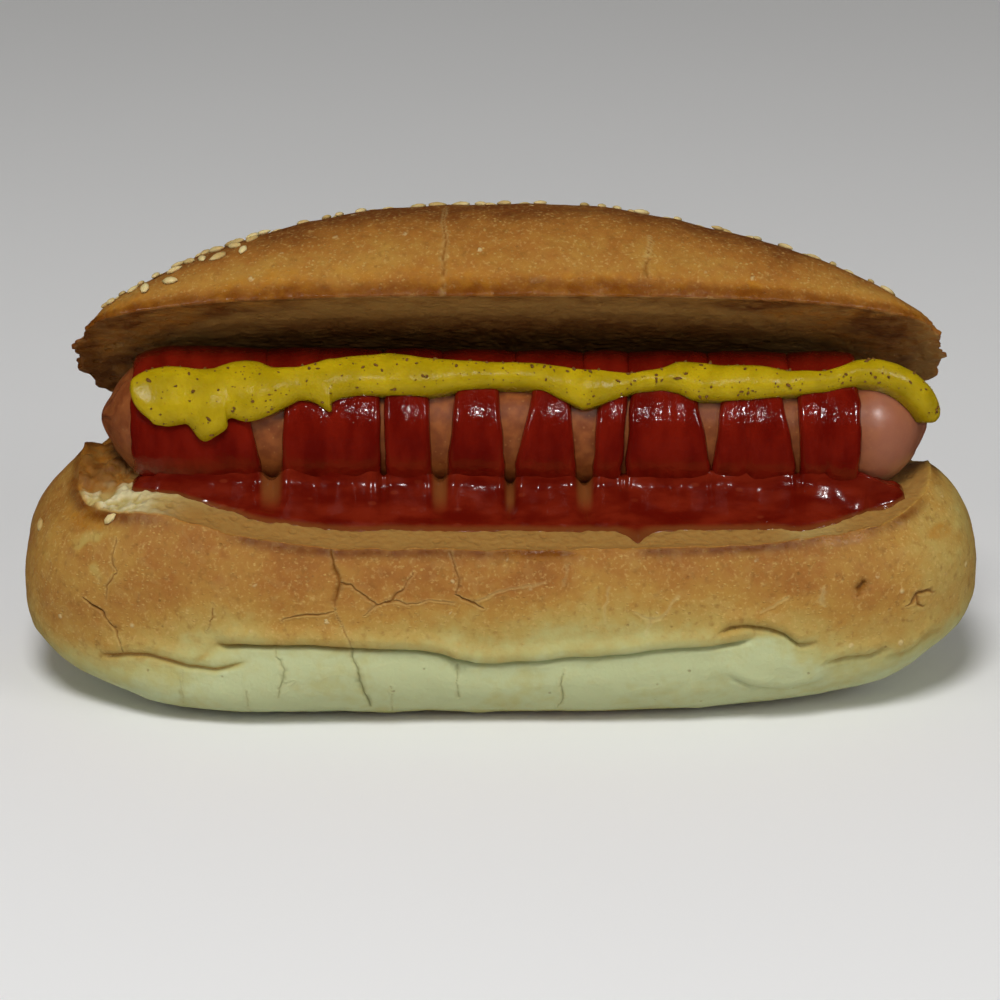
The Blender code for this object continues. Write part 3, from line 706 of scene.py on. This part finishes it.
def band_place(left_gap, right_gap, seed):
    """One band between two gaps; u runs along the sausage and v from the foot over the top."""
    def place(u, v, inside):
        angle = BAND_FOOT + (BAND_TOP - BAND_FOOT) * v
        climb = np.clip((angle - GAP_FOOT) / (GAP_TOP - GAP_FOOT), 0, 1)
        closed = step(math.radians(53), math.radians(63), angle)
        sway = 0.22 * np.array([noise.noise((seed, a * 3.0, 0.0)) for a in angle.tolist()])
        left = gap_edges(left_gap, climb, closed)[1] + sway if left_gap else np.full(len(u), COAT_LEFT) + 3 * sway
        right = gap_edges(right_gap, climb, closed)[0] + sway if right_gap else np.full(len(u), COAT_RIGHT) + 3 * sway
        share = 0.5 - 0.5 * np.cos(math.pi * u)
        run = left + (right - left) * share
        side = np.minimum(run - left, right - run)
        thick = 1.55 + 0.45 * (1 - (2 * share - 1) ** 2)
        probe = np.stack([run, angle * 14, np.full(len(u), seed)], axis=1)
        thick += 0.16 * drift(probe, np.array((4.0, 11.0, 1.0)))
        for fold, depth in BAND_FOLDS:
            thick -= depth * 2 * hill((run - fold) / 0.8) * step(0.9, 0.4, angle)
        thick *= np.sqrt(1 - (1 - np.clip(side / 1.15, 0, 1)) ** 2)
        thick *= np.sqrt(np.clip((BAND_TOP - angle) / 0.14, 0, 1)) * np.sqrt(np.clip((angle - BAND_FOOT) / 0.2, 0, 1))
        return on_sausage(run * MM, angle, np.full(len(u), -0.00025) if inside else thick * MM)
    return place


ketchup, ketchup_shader, s = finish(
    "ketchup", Subsurface_Weight=0.05, Subsurface_Scale=0.002, Specular_IOR_Level=0.3, Coat_Weight=0.15, Coat_Roughness=0.05,
)
streak = s.noise(0.004, 3.0, (1, 0.35, 0.35))
red = s.over((0.098, 0.0030, 0.0010), (0.155, 0.0070, 0.0022), streak.above(0.30, 0.70))
bump = s.node("Bump", {}, {"Strength": 0.5, "Distance": 0.0004, "Height": s.noise(0.0013, 3.0)})
wire(ketchup_shader, Base_Color=red, Roughness=0.06 + s.noise(0.0022, 3.0) * 0.12, Normal=bump)

bands = bmesh.new()
edges = [None, *GAPS, None]
for number, (left_gap, right_gap) in enumerate(zip(edges[:-1], edges[1:])):
    sauce_sheet(bands, BAND_GRID, band_place(left_gap, right_gap, 1.0 + number * 1.7))
finished("ketchup_bands", bands, ketchup, ["ketchup"])

# ---------------------------------------------------------------------------------------------------
# The ketchup's pool: thinner, pulpy ketchup that has run down into the corner between the sausage and
# the cut, with one drip over the rim. It is a closed sheet that lies on the crumb and dips at the back
# under the feet of the bands.
POOL_GRID = (420, 64)
POOL_START, POOL_END = -0.0745, 0.0760
POOL_FOOT = math.radians(-29)
POOL_SHOWN = 0.88  # of its rows that lie in front of the coat
POOL_FRONT = (  # x and y of its front edge, in mm
    (-77, -7), (-70.6, -11.7), (-62, -17.4), (-48, -22.5), (-34, -23.8), (0, -24.3), (26, -24.3),
    (50, -23.6), (58.5, -24.2), (65, -21.5), (71, -18), (74.7, -12.4), (78, -7),
)
DRIP_X, DRIP_REACH = 0.0265, 0.0046


def pool_place(u, v, inside):
    """u runs along the roll and v from the front edge to under the bands."""
    run = POOL_START + (POOL_END - POOL_START) * u
    probe = np.stack([run, np.zeros(len(run)), np.full(len(run), 5.0)], axis=1)
    bare = np.zeros(len(run))
    for _, _, gap, width in GAPS:
        bare = np.maximum(bare, hill((run / MM - gap) / (0.45 * width + 0.5)) * min(width / 2, 1))
    angle = POOL_FOOT + 0.11 * drift(probe, 0.0075) + 0.04 * drift(probe, 0.003) - 0.20 * bare
    foot = on_sausage(run, angle, np.full(len(u), COAT))
    x = foot[:, 0]
    share = np.clip(v / POOL_SHOWN, 0, 1)
    sunk = np.clip((v - POOL_SHOWN) / (1 - POOL_SHOWN), 0, 1)
    front = np.minimum(np.interp(x / MM, *np.array(POOL_FRONT).T) * MM, foot[:, 1] - 0.0010)
    probe = np.stack([x, np.zeros(len(x)), np.full(len(x), 2.0)], axis=1)
    ragged = 0.0006 * drift(probe, 0.006) + 0.0004 * drift(probe, 0.0018)
    drip = DRIP_REACH * np.exp(-(np.abs((x - DRIP_X) / 0.0022) ** 1.4))
    y = front + (foot[:, 1] - front) * share + ragged * (1 - share) ** 3 - drip * (1 - share) ** 9 + sunk * 0.0026
    floor = cut_height(x, y)
    if inside:
        return np.stack([x, y, floor - 0.0006], axis=1)
    probe = np.stack([x * 0.45, y, np.zeros(len(u))], axis=1)
    pulp = 0.00018 * drift(probe, 0.0030, 3.0) + 0.00009 * drift(probe, 0.0011, 7.0)
    edge = np.clip(share / 0.16, 0, 1) * np.clip(np.minimum(u, 1 - u) / 0.06, 0, 1) ** 0.6
    meniscus = (0.0013 + 0.0009 * drift(np.stack([x, y * 2, np.zeros(len(x))], axis=1), 0.0035)) * (1 - bare)
    curve = 1.7 + 0.9 * drift(np.stack([x, x * 0, x * 0 + 0.01], axis=1), 0.009)
    thick = 0.0005 + (foot[:, 2] - floor - 0.0005) * share**curve + meniscus * hill((share - 1) / 0.08)
    thick += pulp * step(0.0, 0.2, share) - sunk * 0.0002
    return np.stack([x, y, floor + 0.0001 + np.maximum(thick, 0.0002) * edge], axis=1)


pool_finish, pool_shader, s = finish(
    "ketchup_pool", Subsurface_Weight=0.04, Subsurface_Scale=0.002, IOR=1.44, Specular_IOR_Level=0.3,
)
pulp = s.noise(0.0030, 4.0, (0.4, 1, 1))
red = s.over((0.090, 0.0035, 0.0010), (0.150, 0.0110, 0.0030), pulp.above(0.30, 0.72))
red = s.over(red, (0.22, 0.035, 0.012), s.spots(0.0021, 0.26, 0.22, (0.5, 1, 1)) * 0.3)
red = s.over(red, (0.165, 0.048, 0.011), s.mark("thin") * 0.9)
bump = s.node("Bump", {}, {"Strength": 0.4, "Distance": 0.0003, "Height": pulp + s.noise(0.0009, 2.0) * 0.3})
wire(pool_shader, Base_Color=red, Roughness=0.08 + pulp * 0.14, Normal=bump)

pool = bmesh.new()
sauce_sheet(pool, POOL_GRID, pool_place)
points = np.array([vertex.co for vertex in pool.verts])
run = (points[:, 0] - SAUSAGE_MIDDLE.x) / MM
thin = np.zeros(len(run))
for top, top_width, foot, foot_width in GAPS:
    if foot_width > 1.0:
        thin = np.maximum(thin, step(0.62 * foot_width, 0.30 * foot_width, np.abs(run - foot)))
thin *= step(-0.0212, -0.0172, points[:, 1])
depth = points[:, 2] - cut_height(points[:, 0], points[:, 1])
thin = np.maximum(thin, 0.85 * step(0.0009, 0.0002, depth) * (depth > -0.0005))
finished("ketchup_pool", pool, pool_finish, ["ketchup"], {"thin": thin})

# ---------------------------------------------------------------------------------------------------
# The mustard: one squeezed bead of grainy yellow mustard along the sausage's upper front, thick and
# sagging in a few places, which ends over the right tip. It is a closed sheet on the ketchup; the
# grains are a mesh of their own, half sunk in its surface.
MUSTARD_GRID = (520, 34)
MUSTARD_LINE = (  # place along the sausage in mm, angle in degrees, reach below and above in mm
    (-73.6, 42, 0.2, 0.2), (-73.0, 42, 2.4, 1.2), (-72.0, 42, 4.9, 2.2), (-70.4, 43, 7.9, 3.0),
    (-67.4, 44, 8.8, 3.5), (-63.6, 45, 8.2, 2.9), (-62.4, 45, 9.2, 2.7), (-61.3, 45, 12.0, 2.6),
    (-60.0, 45, 13.5, 2.7), (-58.8, 45, 13.0, 2.9), (-57.6, 45, 10.6, 3.1), (-56.3, 46, 8.0, 3.6), (-54.8, 46, 7.0, 4.3),
    (-52.1, 46, 8.1, 4.9), (-49.5, 47, 7.5, 4.3), (-47.0, 48, 6.4, 2.3), (-42.3, 50, 4.2, 1.6),
    (-39.8, 51, 4.6, 2.0), (-38.5, 52, 6.3, 2.2), (-37.3, 53, 8.4, 2.5), (-36.1, 54, 6.5, 2.8), (-34.6, 54, 5.0, 3.0), (-30.5, 55, 4.3, 3.6),
    (-24.0, 56, 4.5, 4.2), (-16.7, 56, 4.6, 2.5), (-10.8, 57, 3.5, 1.8), (-2.9, 57, 2.8, 1.8),
    (3.0, 56, 2.6, 2.0), (6.0, 55, 2.9, 1.8), (10.0, 53, 4.6, 1.3), (13.8, 52, 6.2, 0.7),
    (18.0, 52, 4.5, 0.6), (22.7, 52, 2.4, 0.9), (28.6, 53, 2.1, 1.9), (32.0, 54, 3.2, 3.0),
    (34.5, 54, 4.5, 3.0), (40.0, 53, 4.3, 2.4), (46.3, 53, 4.0, 2.1), (53.0, 53, 3.1, 1.3),
    (60.1, 54, 2.6, 0.8), (63.5, 57, 2.4, 1.2), (66.5, 60, 2.6, 1.9), (70.0, 61.5, 3.0, 2.0),
    (73.0, 60.5, 3.0, 2.0), (76.0, 57, 2.9, 2.1), (79.0, 51, 2.8, 2.3), (81.2, 43, 2.6, 2.4),
    (82.3, 34, 2.3, 2.3), (82.7, 26, 1.6, 1.6), (82.8, 22, 0.2, 0.2),
)


def hug(points, clear):
    """Moves points straight towards the sausage's axis or away, until they are clear of its skin."""
    x = points[:, 0]
    y, z = axis(x)
    near = SAUSAGE_MIDDLE.x + np.clip(x - SAUSAGE_MIDDLE.x, -STRAIGHT, STRAIGHT)
    middle = np.stack([near, y, z], axis=1)
    arm = points - middle
    return middle + arm / np.linalg.norm(arm, axis=1)[:, None] * (SAUSAGE_RADIUS + clear)[:, None]


line = np.array(MUSTARD_LINE)
knots = on_sausage(line[:, 0] * MM, np.radians(line[:, 1]), np.full(len(line), COAT))
length = np.concatenate([[0], np.cumsum(np.linalg.norm(np.diff(knots, axis=0), axis=1))])
fine_length = np.linspace(0, length[-1], 1200)
smooth = np.hanning(21) / np.hanning(21).sum()
fine_line = []
for column in line.T:
    values = np.interp(fine_length, length, column)
    fine_line.append(np.convolve(np.pad(values, 10, mode="edge"), smooth, mode="valid"))
centre = on_sausage(fine_line[0] * MM, np.radians(fine_line[1]), np.full(1200, COAT))
heading = np.gradient(centre, axis=0)
rise_way = np.cross(centre - hug(centre, np.full(1200, -SAUSAGE_RADIUS + 1e-6)), heading)
rise_way *= -np.sign(rise_way[600, 2]) / np.linalg.norm(rise_way, axis=1)[:, None]
rise_way *= np.sign(rise_way[600, 2])


def mustard_place(u, v, inside):
    """u runs along the bead and v across it, from its lower edge."""
    places = u * fine_length[-1]
    middle = np.stack([np.interp(places, fine_length, column) for column in centre.T], axis=1)
    up = np.stack([np.interp(places, fine_length, column) for column in rise_way.T], axis=1)
    below, above = (np.interp(places, fine_length, column) for column in fine_line[2:])
    across = np.sin((v - 0.5) * math.pi)
    reach = np.where(across < 0, below, above) * across * MM
    laid = middle + up * reach[:, None]
    if inside:
        return hug(laid, np.full(len(u), 0.0002))
    width = (below + above) / 2
    high = np.minimum(3.5, 0.75 + 0.95 * width) * (1 - 0.15 * step(0.93, 1.0, u))
    dome = np.sqrt(1 - (0.985 * across) ** 2)
    lumpy = 0.45 * drift(laid, 0.0065, 2.0) + 0.16 * drift(laid, 0.0024, 5.0)
    thick = 0.25 + (high + lumpy * step(0, 1.5, width)) * dome
    return hug(laid, COAT + 0.0002 + thick * MM)


mustard, mustard_shader, s = finish(
    "mustard", Subsurface_Weight=0.08, Subsurface_Scale=0.002, IOR=1.42, Specular_IOR_Level=0.26,
)
yellow = s.over((0.310, 0.215, 0.0020), (0.410, 0.288, 0.0040), s.noise(0.005, 3.0).above(0.3, 0.7))
yellow = s.over(yellow, (0.30, 0.17, 0.004), s.spots(0.0011, 0.30, 0.30) * 0.35)
yellow = s.over(yellow, (0.090, 0.042, 0.006), s.spots(0.0016, 0.17, 0.22) * 0.7)
bump = s.node("Bump", {}, {"Strength": 0.35, "Distance": 0.0003, "Height": s.noise(0.0011, 3.0)})
wire(mustard_shader, Base_Color=yellow, Roughness=0.20 + s.noise(0.003) * 0.15, Normal=bump)

bead = bmesh.new()
sauce_sheet(bead, MUSTARD_GRID, mustard_place)
finished("mustard_bead", bead, mustard, ["mustard"])

husk, husk_shader, s = finish("mustard_husk", IOR=1.4)
wire(husk_shader, Base_Color=s.over((0.075, 0.026, 0.004), (0.200, 0.085, 0.010), s.noise(0.0009)),
     Roughness=0.35 + s.noise(0.0004) * 0.2)
chance = np.random.default_rng(11)
grains = bmesh.new()
u, v = chance.uniform(0.012, 0.985, 420), chance.uniform(0.08, 0.84, 420)
u[280:] = np.clip(u[:140] + chance.normal(0, 0.006, 140), 0.01, 0.985)
places, sizes = mustard_place(u, v, False), (0.09 + 0.32 * chance.uniform(0, 1, 420) ** 3) * MM
for place, size in zip(places, sizes):
    made = bmesh.ops.create_icosphere(grains, subdivisions=1, radius=1.0)["verts"]
    turn = Matrix.Rotation(chance.uniform(0, math.pi), 3, Vector(chance.normal(size=3)).normalized())
    shape = Matrix.Diagonal((size * chance.uniform(1.1, 2.0), size, size * 0.8))
    for vertex in made:
        vertex.co = Vector(place) + turn @ (shape @ vertex.co)
finished("mustard_grains", grains, husk, [])

# ---------------------------------------------------------------------------------------------------
# Sesame seeds: flat, drop-shaped seeds baked on to the crown, thick on its top and back and in a
# cluster at its left end, with two on the lower half. All are one mesh of small closed shapes.
SEED_LENGTH, SEED_WIDTH, SEED_HEIGHT = 0.0036, 0.0019, 0.0011

sesame, sesame_shader, s = finish("sesame", Subsurface_Weight=0.08, Subsurface_Scale=0.001, IOR=1.45)
hull = s.over((0.46, 0.315, 0.105), (0.66, 0.53, 0.25), s.noise(0.004, 1.0).above(0.3, 0.7))
hull = s.over(hull, (0.30, 0.15, 0.035), s.noise(0.0013, 2.0).above(0.55, 0.85) * 0.6)
wire(sesame_shader, Base_Color=hull, Roughness=0.45 + s.noise(0.001) * 0.15)


def crown_spot(x, y):
    """A point on the level crown's crust at x, y, and the way out of the crust there."""
    gap = 0.0004
    z = dome_height(np.array([x, x + gap, x]), np.array([y, y, y + gap]))
    out = Vector((-(z[1] - z[0]) / gap, -(z[2] - z[0]) / gap, 1)).normalized()
    return Vector((x, y, z[0])), out


def add_seed(bm, place, out, heading, scale):
    made = bmesh.ops.create_uvsphere(bm, u_segments=7, v_segments=5, radius=0.5)["verts"]
    side = out.cross(Vector((math.cos(heading), math.sin(heading), 0.2))).normalized()
    frame_turn = Matrix((side.cross(out), side, out)).transposed()
    for vertex in made:
        point = vertex.co.copy()
        narrow = 1 - 0.55 * max(0.0, point.x * 2) ** 1.5
        point = Vector((point.x * SEED_LENGTH, point.y * SEED_WIDTH * narrow, point.z * SEED_HEIGHT * narrow))
        vertex.co = place + out * SEED_HEIGHT * 0.22 + frame_turn @ (point * scale)


seeds = bmesh.new()
chance = np.random.default_rng(5)
tilt = Matrix.Rotation(-CROWN_TILT, 3, "X")
towards_viewer = Vector((0, -math.cos(math.radians(20)), math.sin(math.radians(20))))
planted = []
for _ in range(2600):
    x, y = chance.uniform(-0.079, 0.074), chance.uniform(-0.031, 0.031)
    if (abs(x) / CROWN_HALF_LENGTH) ** 3 + (abs(y) / RIM_WIDTH) ** 3 > (0.92 if x < -0.05 else 0.80):
        continue
    place, out = crown_spot(x, y)
    facing = (tilt @ out).dot(towards_viewer)
    wanted = 0.26 if facing < 0.02 else 0.13 if facing < 0.16 else 0.0
    if x < -0.050 and facing < 0.76 - 9 * (x + 0.078):
        wanted = 0.8
    heading, scale = chance.uniform(0, 2 * math.pi), chance.uniform(0.82, 1.12)
    if chance.uniform() > wanted or any((place - other).length < 0.0030 for other in planted):
        continue
    planted.append(place)
    add_seed(seeds, place, out, heading, scale)
for vertex, point in zip(seeds.verts, lean_back(np.array([v.co for v in seeds.verts])).tolist()):
    vertex.co = point
for x, y, z, heading in ((-0.0917, -0.0095, 0.0346, 1.2), (-0.0757, -0.0218, 0.0400, 0.6)):
    spot = heel_surface[np.argmin(np.linalg.norm(heel_surface - (x, y, z), axis=1))]
    out = Vector((x / HALF_LENGTH**2, y / HALF_WIDTH**2, 0.3 / HALF_WIDTH)).normalized()
    add_seed(seeds, Vector(spot), out, heading, 0.9)
finished("sesame_seeds", seeds, sesame, [])

# ---------------------------------------------------------------------------------------------------
# The studio: a plain pale floor, a large soft light above the front, a weaker one to the right and a
# small bright one that puts the glints on the sauces. The camera looks down on the roll's front.
floor_bm = bmesh.new()
bmesh.ops.create_grid(floor_bm, x_segments=1, y_segments=1, size=3.0)
floor_mesh = bpy.data.meshes.new("floor")
floor_bm.to_mesh(floor_mesh)
floor_bm.free()
floor_finish, floor_shader, s = finish("floor", Roughness=0.9)
wire(floor_shader, Base_Color=s.over((0.86, 0.86, 0.86), (0.83, 0.83, 0.83), s.noise(0.2)))
floor_mesh.materials.append(floor_finish)
floor = bpy.data.objects.new("floor", floor_mesh)
floor.visible_glossy = False
bpy.context.scene.collection.objects.link(floor)


def lamp(name, place, aim, size, watts, glossy):
    """A round soft light; a glossy one shows only as a highlight, and the others only light the surfaces."""
    light = bpy.data.lights.new(name, "AREA")
    light.shape, light.size, light.energy = "DISK", size, watts
    made = bpy.data.objects.new(name, light)
    made.location = place
    made.rotation_euler = (Vector(aim) - Vector(place)).to_track_quat("-Z", "Y").to_euler()
    made.visible_glossy = glossy
    made.visible_diffuse = not glossy
    bpy.context.scene.collection.objects.link(made)


lamp("key", (-0.10, -0.70, 1.05), (0, 0, 0.04), 0.40, 10.3, False)
lamp("fill_right", (0.90, -0.70, 0.50), (0, 0, 0.04), 0.60, 3.3, False)
lamp("fill_left", (-0.90, -0.70, 0.50), (0, 0, 0.04), 0.60, 1.8, False)
lamp("glint", (0.10, -0.90, 0.70), (0, 0, 0.05), 0.04, 1.6, True)
lamp("glint_left", (-0.70, -0.70, 0.60), (0, 0, 0.05), 0.04, 3.0, True)
lamp("glint_right", (0.70, -0.70, 0.60), (0, 0, 0.05), 0.04, 3.0, True)

world = bpy.data.worlds.new("studio")
world.use_nodes = True
world.node_tree.nodes["Background"].inputs["Color"].default_value = (1.0, 0.97, 0.92, 1.0)
world.node_tree.nodes["Background"].inputs["Strength"].default_value = 0.15
world.cycles_visibility.glossy = False
bpy.context.scene.world = world
bpy.context.scene.view_settings.view_transform = "Standard"

camera = bpy.data.objects.new("camera", bpy.data.cameras.new("camera"))
camera.data.lens, camera.data.sensor_width = 144.0, 36.0
camera.data.clip_start = 0.01
aim = Vector((0, 0, 0.0355))
camera.location = aim + 0.8 * Vector((0, -math.cos(math.radians(20)), math.sin(math.radians(20))))
camera.rotation_euler = (aim - camera.location).to_track_quat("-Z", "Y").to_euler()
bpy.context.scene.collection.objects.link(camera)
bpy.context.scene.camera = camera
